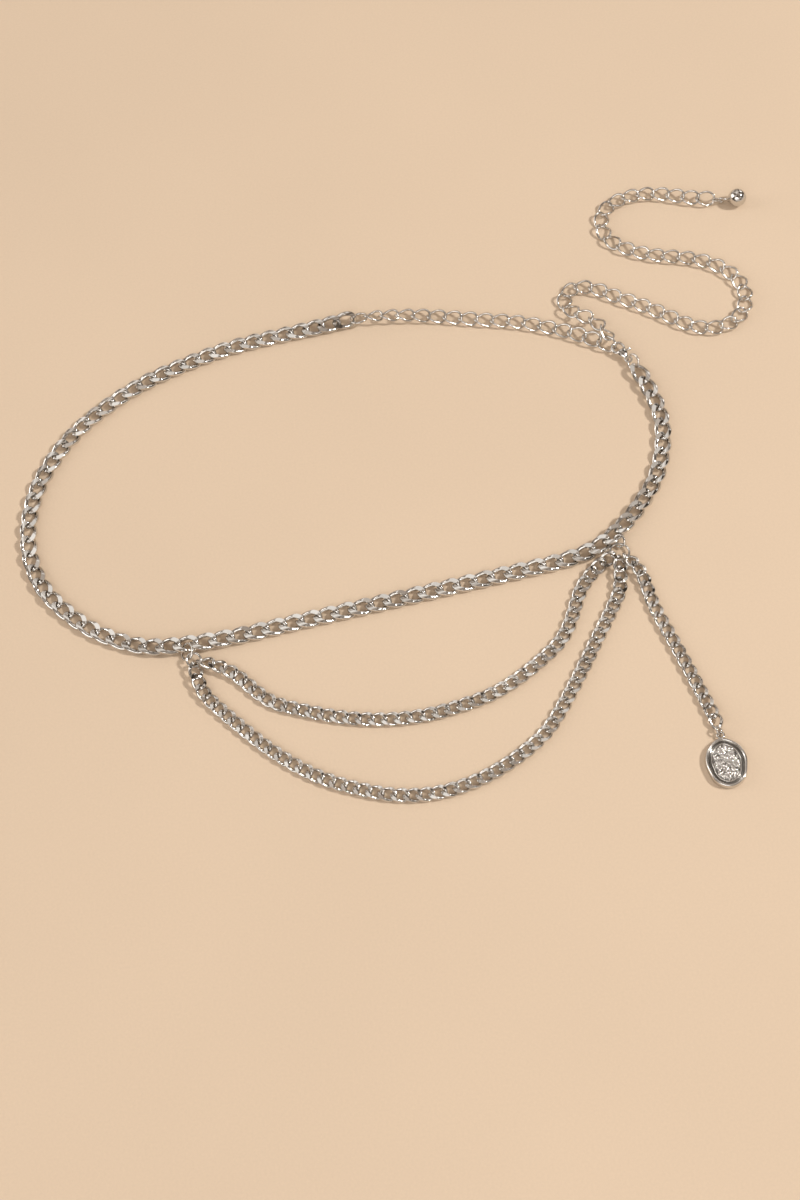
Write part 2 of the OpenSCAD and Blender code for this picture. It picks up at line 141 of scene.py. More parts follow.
# Clasp: its place and direction, then its own sizes, with the hook towards X. Millimetres and degrees.
CLASP_AT = Vector((110.9, 67.4, 2.8))
CLASP_TURN = 120.4
HOOK_MIDDLE = 3.1
HOOK_RADIUS = 3
HOOK_WIRE = 1.6
HOOK_OPENING = 4.4
EYE_MIDDLE = -5.1
EYE_RADIUS = 1.6
EYE_WIRE = 0.95
# The lever turns about the pivot. Its end and the hook's tip are cut to curves about it, this far apart.
PIVOT = Vector((0.3, -1.15, 0))
TIP_RADIUS = 4.4
TIP_PLAY = 0.25
# Boxes to cut with: the one that keeps the cut to the hook's tip, and the lever's slot in the barrel.
TIP_BOX_AT = Vector((5, -3.7, 0))
TIP_BOX_SIZE = (8, 4.6, 6)
SLOT_AT = Vector((0.8, -2.475, 0))
SLOT_SIZE = (3.4, 5.05, 1.6)
LEVER_WIRE = 1.2
BOSS_RADIUS = 0.9
NUB_TURN = -105
PIN_RADIUS = 0.35
PIN_LENGTH = 3.0
PIN_HOLE = 0.74
LEVER_BORE = 0.95
# Length of the round tools, more than the clasp is high.
CUT_LENGTH = 6
# The barrel is wider than high: its width as a multiple of its height.
FLARE = 1.35
# Outlines turned about X: (place along X, radius).
BARREL = ((-3.75, 0.5), (-3.68, 0.66), (-3.5, 0.8), (-2.8, 1.2), (-2.0, 1.6), (-0.9, 1.9), (0.2, 2.05),
          (0.9, 1.95), (1.3, 1.65), (1.4, 1.4))
NUB = ((0.2, 0.5), (2.3, 0.53), (2.5, 0.6), (2.7, 0.71), (2.9, 0.77), (3.2, 0.8), (3.5, 0.74), (3.75, 0.58),
       (3.92, 0.35), (3.99, 0.1))
BALL_NECK = ((3.3, 2.5), (3.62, 2.6), (3.9, 2.45), (4.15, 2.1), (4.5, 1.75), (4.9, 1.42), (5.3, 1.12),
             (5.8, 0.88), (6.3, 0.74), (6.8, 0.66), (7.1, 0.6))

# Pendant: its place and direction, its outline's half sizes, and its loop. Millimetres and degrees.
PENDANT_AT = Vector((127.9, -152.9, 0))
PENDANT_TURN = 2.6
PENDANT_HALF = (9.3, 11.9)
PENDANT_LOOP_AT = Vector((0, 13.5, 1.6))
PENDANT_LOOP_RADIUS = 1.5
PENDANT_LOOP_WIRE = 0.9
# From the underside over rim, groove and inner ring to the field: (distance in from the edge, height).
PENDANT_RIM = ((1.2, 0.0), (0.35, 0.0), (0.10, 0.12), (0.0, 0.4), (-0.02, 1.0), (0.0, 1.7), (0.06, 2.2),
               (0.18, 2.6), (0.38, 2.87), (0.65, 2.98), (0.9, 2.98), (1.15, 2.86), (1.35, 2.62), (1.5, 2.25),
               (1.6, 1.8), (1.68, 1.5), (1.78, 1.4), (2.2, 1.4), (2.42, 1.45), (2.5, 1.7), (2.56, 2.0),
               (2.66, 2.2), (2.82, 2.3), (3.0, 2.28), (3.14, 2.12), (3.22, 1.9), (3.3, 1.75))
GROOVE = (1.6, 2.45)
GROOVE_TOP = 1.6
FIELD_HEIGHT = 1.72
FIELD_CROWN = 0.25
# The grains of the relief: their number, the half sizes of the oval they fill, and their mean radius.
GRAINS = 130
GRAIN_OVAL = (5.6, 7.9)
GRAIN_RADIUS = 0.82
GOLDEN_ANGLE = 2.39996

# Ball: its middle, the direction of its neck on the table, the neck's slope, and its loop.
BALL_AT = Vector((180.9, 154.6, 4.5))
NECK_TURN = 170.9
NECK_DROP = 18
BALL_LOOP_MIDDLE = 8.3
BALL_LOOP_RADIUS = 1.4
BALL_LOOP_WIRE = 0.9

# Table and camera, in metres and degrees. The focal length is in pixels of the photo's long side.
TABLE_SIZE = 12
TABLE_HEIGHT = -0.00002
CAMERA_AIM = Vector((-0.0075, -0.0568, 0))
CAMERA_DISTANCE = 0.9464
CAMERA_ELEVATION = 61.3
CAMERA_ROLL = -5.17
FOCAL_PIXELS = 2062
LONG_SIDE_PIXELS = 1200
SENSOR_MM = 36

# Soft panels around the table: direction, the angle where each is full, the angle where it ends, its light.
PANELS = (
    ((-0.10, 0.43, 0.85), 4, 27, 0.52),
    ((-0.90, 0.25, 0.35), 12, 24, 1.4),
    ((0.55, 0.70, 0.45), 6, 14, 1.6),
    ((-0.30, -0.80, 0.50), 14, 26, 0.9),
)


class WaistChainSizes(bpy.types.PropertyGroup):
    """Sizes of the links and pieces: the solids' sizes, and how much fuller the cut links' wire is made"""

    belt_wire: FloatProperty(
        name="Belt wire", description="Thickness of the belt links' wire",
        default=0.0021, unit="LENGTH", precision=5)
    belt_width: FloatProperty(
        name="Belt width", description="Width of the belt chain",
        default=0.0085, unit="LENGTH", precision=5)
    belt_height: FloatProperty(
        name="Belt height", description="Height over the belt links' cut faces",
        default=0.0032, unit="LENGTH", precision=5)
    swag_wire: FloatProperty(
        name="Front wire", description="Thickness of the front links' wire",
        default=0.0015, unit="LENGTH", precision=5)
    swag_width: FloatProperty(
        name="Front width", description="Width of the front chains",
        default=0.007, unit="LENGTH", precision=5)
    swag_height: FloatProperty(
        name="Front height", description="Height over the front links' cut faces",
        default=0.0025, unit="LENGTH", precision=5)
    drop_wire: FloatProperty(
        name="Drop wire", description="Thickness of the drop links' wire",
        default=0.00145, unit="LENGTH", precision=5)
    drop_width: FloatProperty(
        name="Drop width", description="Width of the drop chain",
        default=0.0067, unit="LENGTH", precision=5)
    extension_wire: FloatProperty(
        name="Extension wire", description="Thickness of the extension links' wire",
        default=0.00115, unit="LENGTH", precision=5)
    extension_width: FloatProperty(
        name="Extension width", description="Width of the extension chain",
        default=0.008, unit="LENGTH", precision=5)
    ring_wire: FloatProperty(
        name="Ring wire", description="Thickness of the jump rings",
        default=0.0011, unit="LENGTH", precision=5)
    small_ring_wire: FloatProperty(
        name="Small ring wire", description="Thickness of the rings at the pendant and the ball",
        default=0.00085, unit="LENGTH", precision=5)
    belt_fullness: FloatProperty(
        name="Belt fullness",
        description="The belt wire's thickness as a multiple of the solid's, in the same outer width",
        default=1.06, min=1, max=1.1)
    front_fullness: FloatProperty(
        name="Front fullness",
        description="The front wire's thickness as a multiple of the solid's, in the same outer width",
        default=1.10, min=1, max=1.1)
    ball_radius: FloatProperty(
        name="Ball radius", description="Radius of the ball on the tail",
        default=0.0045, unit="LENGTH", precision=5)
    relief: FloatProperty(
        name="Relief", description="Height of the pendant's relief over its field",
        default=0.0010, unit="LENGTH", precision=5)


class WaistChainColours(bpy.types.PropertyGroup):
    """Colours of the metal, of the painted shade in the pendant's hollows, and of the table"""

    silver: FloatVectorProperty(
        name="Silver", description="Plated metal of the links",
        default=(0.68, 0.66, 0.635), subtype="COLOR", min=0, max=1)
    # Colour of the painted shade in the pendant's hollows: the groove's bottom and the low places between the
    # grains.
    hollow_shade: FloatVectorProperty(
        name="Hollows", description="Darker metal in the pendant's hollows",
        default=(0.30, 0.29, 0.275), subtype="COLOR", min=0, max=1)
    table: FloatVectorProperty(
        name="Table", description="Colour of the table",
        default=(0.735, 0.583, 0.435), subtype="COLOR", min=0, max=1)
    roughness: FloatProperty(
        name="Polish", description="Roughness of the polished metal",
        default=0.11, min=0, max=1)


def deselect():
    """Leaves nothing selected and nothing active."""
    if bpy.context.object and bpy.context.object.mode != "OBJECT":
        bpy.ops.object.mode_set(mode="OBJECT")
    bpy.ops.object.select_all(action="DESELECT")
    bpy.context.view_layer.objects.active = None


def activate(*pieces):
    """Selects only these objects, the first one active."""
    deselect()
    for piece in pieces:
        piece.select_set(True)
    bpy.context.view_layer.objects.active = pieces[0]


def join(pieces, name):
    """Joins the pieces into the first one and names it."""
    activate(*pieces)
    if len(pieces) > 1:
        bpy.ops.object.join()
    piece = bpy.context.object
    piece.name = piece.data.name = name
    return piece


def settle(piece):
    """Moves an object's place into its mesh."""
    activate(piece)
    bpy.ops.object.transform_apply(location=True, rotation=True, scale=True)


def modify(piece, kind, **settings):
    """Adds a modifier, sets it and applies it."""
    activate(piece)
    bpy.ops.object.modifier_add(type=kind)
    modifier = piece.modifiers[-1]
    for key, value in settings.items():
        setattr(modifier, key, value)
    bpy.ops.object.modifier_apply(modifier=modifier.name)


def tidy_mesh(piece, merge=1e-7):
    """Merges doubled points and turns all faces outwards."""
    activate(piece)
    bpy.ops.object.mode_set(mode="EDIT")
    bpy.ops.mesh.select_all(action="SELECT")
    bpy.ops.mesh.remove_doubles(threshold=merge)
    bpy.ops.mesh.normals_make_consistent(inside=False)
    bpy.ops.object.mode_set(mode="OBJECT")


def smooth(piece, angle=35):
    """Shades a piece smoothly, apart from edges sharper than the angle."""
    activate(piece)
    bpy.ops.object.shade_smooth_by_angle(angle=math.radians(angle))


def dress(piece, material, body, slot, *nodes):
    """Gives a finished piece its metal, its body and the solids that it stands for."""
    piece.data.materials.clear()
    piece.data.materials.append(material)
    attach(piece, body)
    if nodes:
        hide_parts(*nodes)


# Layout: the solids' own rule, so each link lies where its solid lies, apart from a small random roll.
def polar(radius, angle):
    """A point on the table at a distance and an angle."""
    return Vector((radius * math.cos(math.radians(angle)), radius * math.sin(math.radians(angle)), 0))


def leave(fan, at, start, end, pitch=SWAG_STEP, steps=4, count=4):
    """First points of a chain that leaves a ring at one angle and turns to another."""
    points = [fan[0] + polar(fan[1], at)]
    for i in range(steps):
        points.append(points[-1] + polar(pitch, start + (end - start) * (i + 0.5) / steps))
    return points[:count]


def smooth_route(route, steps=12):
    """A smooth curve through the points of a route."""
    p = [Vector(point) for point in route]
    curve = []
    for i in range(len(p) - 1):
        before = 2 * p[0] - p[1] if i == 0 else p[i - 1]
        after = 2 * p[i + 1] - p[i] if i == len(p) - 2 else p[i + 2]
        step = (p[i + 1] - p[i]).length
        s1 = (p[i + 1] - before) / ((p[i] - before).length + step) * step
        s2 = (after - p[i]) / (step + (after - p[i + 1]).length) * step
        for j in range(steps):
            t = j / steps
            curve.append((2 * t**3 - 3 * t**2 + 1) * p[i] + (t**3 - 2 * t**2 + t) * s1
                         + (3 * t**2 - 2 * t**3) * p[i + 1] + (t**3 - t**2) * s2)
    return curve + [p[-1]]


def between(x, marks):
    """Looks up x in a list of pairs."""
    for (x0, y0), (x1, y1) in zip(marks, marks[1:]):
        if x <= x1:
            return y0 + (y1 - y0) * (x - x0) / (x1 - x0)
    return marks[-1][1]


def spread(route, count, marks=None):
    """Hinges of a chain: equal steps along its route, or steps between marked links."""
    curve = smooth_route(route)
    lengths = [0.0]
    for a, b in zip(curve, curve[1:]):
        lengths.append(lengths[-1] + (b - a).length)
    marks = marks or [(0, 0), (count, 1)]
    hinges, k = [], 0
    for j in range(count + 1):
        d = min(lengths[-1] * between(j, marks), lengths[-1])
        while k < len(curve) - 2 and lengths[k + 1] < d:
            k += 1
        hinges.append(curve[k].lerp(curve[k + 1], (d - lengths[k]) / (lengths[k + 1] - lengths[k])))
    return hinges


def end_rolls(count, start, end):
    """Roll at each hinge in degrees: full at the chain's ends and faded a few links from them."""
    return [start * max(0, 1 - j / FADE) + end * max(0, 1 - (count - j) / FADE) for j in range(count + 1)]


def hump(j, at, height, slope=3):
    """Lift of a hinge near a ring under the belt: full within half a link of it, then sloping down."""
    return height * min(1, max(0, 1 - (abs(j - at) - 0.5) / slope))


def chain_places(hinges, rolls, height, width, lifts=None, loose=1.2, seed=1):
    """A place for each link: its matrix in metres and the distance between its hinges.

    Each link is rolled at random by up to the angle loose, in degrees.
    """
    chance = random.Random(seed)
    raised = []
    for j, (hinge, roll) in enumerate(zip(hinges, rolls)):
        tilt = math.radians(roll)
        rest = height / 2 * math.cos(tilt) + SIDE_REST * width * abs(math.sin(tilt))
        raised.append(hinge + Vector((0, 0, rest + (lifts[j] if lifts else 0))))
    places = []
    for i, (a, b) in enumerate(zip(raised, raised[1:])):
        x = (b - a).normalized()
        across = Vector((0, 0, 1)).cross(x).normalized()
        up = x.cross(across)
        turn = math.radians((rolls[i] + rolls[i + 1]) / 2 + chance.uniform(-loose, loose))
        y = math.cos(turn) * across + math.sin(turn) * up
        z = math.cos(turn) * up - math.sin(turn) * across
        m = Matrix((x, y, z)).transposed().to_4x4()
        m.translation = (a + b) / 2 * MM
        places.append((m, (b - a).length * MM))
    return places


def link_points(pitch, wire, width, play, rise, shoulder):
    """Eight points of a link's centre line, each with its direction and the reach of its two handles."""
    rise, lean = math.radians(rise), math.radians(END_LEAN)
    end = Vector(((pitch + wire + play) / 2, 0, 0))
    side = Vector((0, (width - wire) / 2, 0))
    start = Vector((0, math.cos(lean), math.sin(lean)))
    leave_side = Vector((-math.cos(rise), 0, -math.sin(rise)))
    span = side - end
    across = span.dot(leave_side) + shoulder * (1 - start.dot(leave_side))
    rest = (span.dot(span) - 2 * shoulder * span.dot(start)) / (2 * across)
    knee = end + shoulder * start
    back = side - rest * leave_side
    joint = knee + shoulder / (shoulder + rest) * (back - knee)
    along = (back - knee).normalized()

    def reach(s, t, e):
        """Reach of the handles of an arc from s to e that leaves s in the direction t."""
        chord = e - s
        radius = chord.dot(chord) / (2 * chord.cross(t).length)
        return 4 / 3 * math.tan(2 * math.asin(chord.length / (2 * radius)) / 4) * radius

    h1, h2 = reach(end, start, joint), reach(joint, along, side)

    def turned(v, sx, sy, sz):
        """A vector mirrored along its axes."""
        return Vector((v.x * sx, v.y * sy, v.z * sz))

    return [
        (end, start, h1, h1),
        (joint, along, h1, h2),
        (side, leave_side, h2, h2),
        (turned(joint, -1, 1, -1), -turned(along, -1, 1, -1), h2, h1),
        (turned(end, -1, 1, -1), -turned(start, -1, 1, -1), h1, h1),
        (turned(joint, -1, -1, 1), turned(along, -1, -1, 1), h1, h2),
        (turned(side, -1, -1, 1), turned(leave_side, -1, -1, 1), h2, h2),
        (turned(joint, 1, -1, -1), -turned(along, 1, -1, -1), h2, h1),
    ]


def model_link(name, pitch, wire, width, play, rise, shoulder, height=None, sides=4, steps=5):
    """One twisted link: a bent loop of round wire, ground flat above and below where it has a height."""
    deselect()
    bpy.ops.curve.primitive_bezier_circle_add(radius=pitch)
    curve = bpy.context.object
    bpy.ops.object.mode_set(mode="EDIT")
    bpy.ops.curve.select_all(action="SELECT")
    bpy.ops.curve.subdivide(number_cuts=1)
    bpy.ops.object.mode_set(mode="OBJECT")
    loop = curve.data
    loop.dimensions = "3D"
    loop.fill_mode = "FULL"
    loop.resolution_u = steps
    loop.bevel_depth = wire / 2
    loop.bevel_resolution = sides
    for point, (at, way, before, after) in zip(loop.splines[0].bezier_points,
                                               link_points(pitch, wire, width, play, rise, shoulder)):
        point.handle_left_type = point.handle_right_type = "FREE"
        point.co = at
        point.handle_left = at - way * before
        point.handle_right = at + way * after
    bpy.ops.object.convert(target="MESH")
    link = bpy.context.object
    tidy_mesh(link)
    if height:
        bpy.ops.object.mode_set(mode="EDIT")
        for side in (1, -1):
            bpy.ops.mesh.select_all(action="SELECT")
            bpy.ops.mesh.bisect(plane_co=(0, 0, side * height / 2), plane_no=(0, 0, side),
                                use_fill=True, clear_outer=True)
        bpy.ops.object.mode_set(mode="OBJECT")
    smooth(link)
    link.name = name
    return link


def lay_links(name, link, pitch, places, seed=3):
    """Copies a link to each place of a chain, gives each copy its own lean and gleam, and joins them."""
    chance = random.Random(seed)
    copies = []
    for place, own_pitch in places:
        copy = link.copy()
        copy.data = link.data.copy()
        copy.data.transform(place @ Matrix.Scale(own_pitch / pitch, 4, (1, 0, 0)))
        for attribute in ("lean_x", "lean_y", "gleam"):
            value = chance.uniform(-1, 1)
            layer = copy.data.attributes.new(attribute, "FLOAT", "POINT")
            layer.data.foreach_set("value", [value] * len(copy.data.vertices))
        bpy.context.scene.collection.objects.link(copy)
        copies.append(copy)
    return join(copies, name)


def node(tree, kind, **values):
    """Adds a shader node and sets its settings and its named inputs."""
    new = tree.nodes.new(kind)
    for key, value in values.items():
        if hasattr(new, key):
            setattr(new, key, value)
        else:
            new.inputs[key.replace("_", " ")].default_value = value
    return new


def blend(tree, factor, first, second):
    """Mixes two colours by a factor."""
    mix = node(tree, "ShaderNodeMix", data_type="RGBA")
    mix.inputs["A"].default_value = (*first, 1)
    mix.inputs["B"].default_value = (*second, 1)
    tree.links.new(factor, mix.inputs["Factor"])
    return mix.outputs["Result"]


def tinted(colour, share):
    """A colour made darker or lighter."""
    return [min(1, c * share) for c in colour]


def polished_metal(name, colour, roughness, wear=0.05, dents=0.12, lean=0.0):
    """Plated metal with clouds in its polish and fine marks. With a lean, each link shines a little askew."""
    material = bpy.data.materials.new(name)
    material.use_nodes = True
    tree = material.node_tree
    shader = tree.nodes["Principled BSDF"]
    shader.inputs["Metallic"].default_value = 1.0
    place = tree.nodes.new("ShaderNodeTexCoord")
    clouds = node(tree, "ShaderNodeTexNoise", Scale=420.0, Detail=3.0)
    tree.links.new(place.outputs["Object"], clouds.inputs["Vector"])
    polish = node(tree, "ShaderNodeMapRange", To_Min=max(0.02, roughness - wear), To_Max=roughness + wear)
    tree.links.new(clouds.outputs["Fac"], polish.inputs["Value"])
    tree.links.new(polish.outputs["Result"], shader.inputs["Roughness"])
    gleam = node(tree, "ShaderNodeAttribute", attribute_name="gleam")
    tone = node(tree, "ShaderNodeMapRange", From_Min=-1.0)
    tree.links.new(gleam.outputs["Fac"], tone.inputs["Value"])
    shade = blend(tree, tone.outputs["Result"], tinted(colour, 0.93), tinted(colour, 1.06))
    tree.links.new(shade, shader.inputs["Base Color"])
    marks = node(tree, "ShaderNodeTexNoise", Scale=1500.0, Detail=4.0)
    tree.links.new(place.outputs["Object"], marks.inputs["Vector"])
    bump = node(tree, "ShaderNodeBump", Strength=dents, Distance=0.00006)
    tree.links.new(marks.outputs["Fac"], bump.inputs["Height"])
    if not lean:
        tree.links.new(bump.outputs["Normal"], shader.inputs["Normal"])
        return material
    askew = tree.nodes.new("ShaderNodeCombineXYZ")
    for axis, attribute in (("X", "lean_x"), ("Y", "lean_y")):
        source = node(tree, "ShaderNodeAttribute", attribute_name=attribute)
        tree.links.new(source.outputs["Fac"], askew.inputs[axis])
    scaled = node(tree, "ShaderNodeVectorMath", operation="SCALE", Scale=lean)
    tree.links.new(askew.outputs["Vector"], scaled.inputs[0])
    added = tree.nodes.new("ShaderNodeVectorMath")
    tree.links.new(bump.outputs["Normal"], added.inputs[0])
    tree.links.new(scaled.outputs["Vector"], added.inputs[1])
    unit = node(tree, "ShaderNodeVectorMath", operation="NORMALIZE")
    tree.links.new(added.outputs["Vector"], unit.inputs[0])
    tree.links.new(unit.outputs["Vector"], shader.inputs["Normal"])
    return material


def shaded_cast_metal(name, colour, shade_colour, roughness):
    """Cast metal with painted shade: its colour darkens to the shade colour in its hollows."""
    material = polished_metal(name, colour, roughness, wear=0.05, dents=0.1)
    tree = material.node_tree
    shader = tree.nodes["Principled BSDF"]
    # The depth attribute paints shade: 1 in the shaded hollows, 0 on the high places.
    depth = node(tree, "ShaderNodeAttribute", attribute_name="depth")
    tree.links.new(blend(tree, depth.outputs["Fac"], colour, shade_colour), shader.inputs["Base Color"])
    return material


def table_material(colour):
    """A matt table with a faint cloth-like grain."""
    material = bpy.data.materials.new("table_cloth")
    material.use_nodes = True
    tree = material.node_tree
    shader = tree.nodes["Principled BSDF"]
    shader.inputs["Roughness"].default_value = 0.9
    place = tree.nodes.new("ShaderNodeTexCoord")
    grain = node(tree, "ShaderNodeTexNoise", Scale=900.0, Detail=2.0)
    shade = node(tree, "ShaderNodeTexNoise", Scale=6.0, Detail=2.0)
    for texture in (grain, shade):
        tree.links.new(place.outputs["Object"], texture.inputs["Vector"])
    both = node(tree, "ShaderNodeMath", operation="ADD")
    tree.links.new(grain.outputs["Fac"], both.inputs[0])
    tree.links.new(shade.outputs["Fac"], both.inputs[1])
    ramp = node(tree, "ShaderNodeMapRange", From_Min=0.6, From_Max=1.4)
    tree.links.new(both.outputs["Value"], ramp.inputs["Value"])
    tone = blend(tree, ramp.outputs["Result"], tinted(colour, 0.96), tinted(colour, 1.03))
    tree.links.new(tone, shader.inputs["Base Color"])
    bump = node(tree, "ShaderNodeBump", Strength=0.12, Distance=0.0002)
    tree.links.new(grain.outputs["Fac"], bump.inputs["Height"])
    tree.links.new(bump.outputs["Normal"], shader.inputs["Normal"])
    return material


def metal(name, **settings):
    """The named metal, made once."""
    if name in bpy.data.materials:
        return bpy.data.materials[name]
    colours = bpy.context.scene.waist_chain_colours
    return polished_metal(name, tuple(colours.silver), colours.roughness, **settings)


def cut_metal():
    """The metal of the flat-cut links, which shines a little differently from link to link."""
    return metal("cut_links", dents=0.10, lean=0.07)


def ring_metal():
    """The metal of the rings, the extension chain and the clasp's rivet."""
    return metal("polished_wire", dents=0.08)


def bent_wire(name, radius, wire, start, end, steps, sides=16):
    """Round wire bent about Z from one angle to another, with closed ends."""
    deselect()
    a = math.radians(start)
    centre = Vector((radius * math.cos(a), radius * math.sin(a), 0))
    bpy.ops.mesh.primitive_circle_add(vertices=sides, radius=wire / 2, fill_type="NGON",
                                      location=centre, rotation=(math.pi / 2, 0, a))
    piece = bpy.context.object
    settle(piece)
    bpy.ops.object.mode_set(mode="EDIT")
    bpy.ops.mesh.select_all(action="SELECT")
    bpy.ops.mesh.spin(steps=steps, angle=-math.radians(end - start), center=(0, 0, 0), axis=(0, 0, 1))
    bpy.ops.object.mode_set(mode="OBJECT")
    piece.name = name
    tidy_mesh(piece)
    return piece


def wire_ring(name, radius, wire, segments=48, sides=16):
    """A closed ring of round wire about Z, to join onto a casting."""
    deselect()
    bpy.ops.mesh.primitive_torus_add(major_segments=segments, minor_segments=sides, major_radius=radius,
                                     minor_radius=wire / 2)
    piece = bpy.context.object
    piece.name = name
    return piece


def metres(*sizes):
    """Sizes in millimetres, turned into metres."""
    return tuple(size * MM for size in sizes)


def cutter(shape, middle, size):
    """A cylinder or a cube to cut with, at a place and with its three sizes in metres."""
    deselect()
    if shape == "cylinder":
        bpy.ops.mesh.primitive_cylinder_add(vertices=96, radius=0.5, depth=1, location=middle)
    else:
        bpy.ops.mesh.primitive_cube_add(size=1, location=middle)
    tool = bpy.context.object
    bpy.ops.transform.resize(value=size, center_override=middle)
    settle(tool)
    return tool


def drill(middle, diameter):
    """A long cylinder to cut with, at a place in metres and with its diameter in millimetres."""
    return cutter("cylinder", middle, metres(diameter, diameter, CUT_LENGTH))


def carve(piece, tool, operation="DIFFERENCE"):
    """Cuts a tool out of a piece, keeps only what lies inside the tool, or joins the tool on."""
    modify(piece, "BOOLEAN", object=tool, operation=operation, solver="EXACT")
    bpy.data.objects.remove(tool)


def turned_piece(name, outline, segments=48):
    """A piece turned on a lathe about X, from its outline in millimetres."""
    profile = [metres(x, r) for x, r in outline]
    deselect()
    bpy.ops.mesh.primitive_circle_add(vertices=segments, radius=1, fill_type="NGON",
                                      rotation=(0, math.pi / 2, 0))
    piece = bpy.context.object
    settle(piece)
    x, r = profile[0]
    piece.data.transform(Matrix.Translation((x, 0, 0)) @ Matrix.Diagonal((1, r, r, 1)))
    bpy.ops.object.mode_set(mode="EDIT")
    bpy.ops.mesh.select_all(action="SELECT")
    for (x0, r0), (x1, r1) in zip(profile, profile[1:]):
        bpy.ops.mesh.extrude_region_move(TRANSFORM_OT_translate={"value": (x1 - x0, 0, 0)})
        bpy.ops.transform.resize(value=(1, r1 / r0, r1 / r0), center_override=(x1, 0, 0))
    bpy.ops.object.mode_set(mode="OBJECT")
    piece.name = name
    tidy_mesh(piece)
    return piece


class WAISTCHAIN_OT_belt_chain(bpy.types.Operator):
    """Models the belt chain from flat-cut curb links"""

    bl_idname = "waist_chain.belt_chain"
    bl_label = "Belt chain"

    def execute(self, context):
        sizes = context.scene.waist_chain_sizes
        left, right = LEFT_LINK + 0.5, RIGHT_LINK + 0.5
        # The belt rises where rings pass under it, and these shares of its length end at the marked links.
        marks = [(0, 0), (left, 0.5103), (right, 0.8345), (BELT_LINKS, 1)]
        ring_lift, clasp_lift = 1.6, 1.3
        lifts = [hump(j, left, ring_lift) + hump(j, right, ring_lift) + hump(j, BELT_LINKS, clasp_lift)
                 for j in range(BELT_LINKS + 1)]
        places = chain_places(spread(BELT_ROUTE, BELT_LINKS, marks), end_rolls(BELT_LINKS, -END_ROLL, 0),
                              sizes.belt_height / MM, sizes.belt_width / MM, lifts)
        link = model_link("belt_link", BELT_PITCH, sizes.belt_wire * sizes.belt_fullness, sizes.belt_width,
                          play=0.0003, rise=27, shoulder=0.0024, height=sizes.belt_height)
        piece = lay_links("belt_links", link, BELT_PITCH, places)
        bpy.data.objects.remove(link)
        dress(piece, cut_metal(), "chain", "belt", "belt_left", "belt_right")
        return {"FINISHED"}


class WAISTCHAIN_OT_front_chains(bpy.types.Operator):
    """Models the two curved front chains and the drop chain"""

    bl_idname = "waist_chain.front_chains"
    bl_label = "Front chains"

    def execute(self, context):
        sizes = context.scene.waist_chain_sizes
        height, width = sizes.swag_height / MM, sizes.swag_width / MM
        upper = leave(LEFT_FAN, at=-14, start=-14, end=-42) + [Vector(p) for p in UPPER_ROUTE]
        upper += leave(RIGHT_FAN, at=208, start=208, end=236, count=5)[::-1]
        lower = leave(LEFT_FAN, at=-90, start=-88, end=-50) + [Vector(p) for p in LOWER_ROUTE]
        lower += leave(RIGHT_FAN, at=268, start=268, end=254)[::-1]
        drop = leave(RIGHT_FAN, at=320, start=-42, end=-100, pitch=DROP_STEP)
        drop += [Vector(p) for p in DROP_ROUTE]
        swag = model_link("front_link", FRONT_PITCH, sizes.swag_wire * sizes.front_fullness, sizes.swag_width,
                          play=0.00026, rise=32, shoulder=0.0022, height=sizes.swag_height)
        for name, route, count, seed in (("upper_swag", upper, UPPER_LINKS, 5),
                                         ("lower_swag", lower, LOWER_LINKS, 6)):
            rolls = end_rolls(count, -END_ROLL, END_ROLL)
            places = chain_places(spread(route, count), rolls, height, width, seed=seed)
            piece = lay_links(name + "_links", swag, FRONT_PITCH, places, seed)
            dress(piece, cut_metal(), "chain", "front_chains", name)
        short = model_link("drop_link", FRONT_PITCH, sizes.drop_wire * sizes.front_fullness, sizes.drop_width,
                           play=0.00026, rise=30, shoulder=0.0021, height=sizes.swag_height)
        rolls = end_rolls(DROP_LINKS, -END_ROLL, END_ROLL)
        places = chain_places(spread(drop, DROP_LINKS), rolls, height, sizes.drop_width / MM, seed=7)
        piece = lay_links("drop_links", short, FRONT_PITCH, places, 7)
        dress(piece, cut_metal(), "chain", "front_chains", "drop_chain")
        for link in (swag, short):
            bpy.data.objects.remove(link)
        return {"FINISHED"}


class WAISTCHAIN_OT_extension(bpy.types.Operator):
    """Models the open extension chain and its free tail"""

    bl_idname = "waist_chain.extension"
    bl_label = "Extension chain"

    def execute(self, context):
        sizes = context.scene.waist_chain_sizes
        width = sizes.extension_width / MM
        used, tail = spread(USED_ROUTE, USED_LINKS), spread(TAIL_ROUTE, TAIL_LINKS)
        rolls = end_rolls(USED_LINKS, -END_ROLL, USED_END_ROLL)
        places = chain_places(used, rolls, EXTENSION_HEIGHT, width, loose=0.8, seed=8)
        rolls = TAIL_START_ROLLS + end_rolls(TAIL_LINKS, 0, END_ROLL)[len(TAIL_START_ROLLS):]
        places += chain_places(tail, rolls, EXTENSION_HEIGHT, width, loose=0.8, seed=9)
        link = model_link("extension_link", EXTENSION_PITCH, sizes.extension_wire, sizes.extension_width,
                          play=0.00042, rise=30, shoulder=0.0026)
        piece = lay_links("extension_links", link, EXTENSION_PITCH, places, 8)
        bpy.data.objects.remove(link)
        dress(piece, ring_metal(), "chain", "extension", "extension_chain")
        return {"FINISHED"}


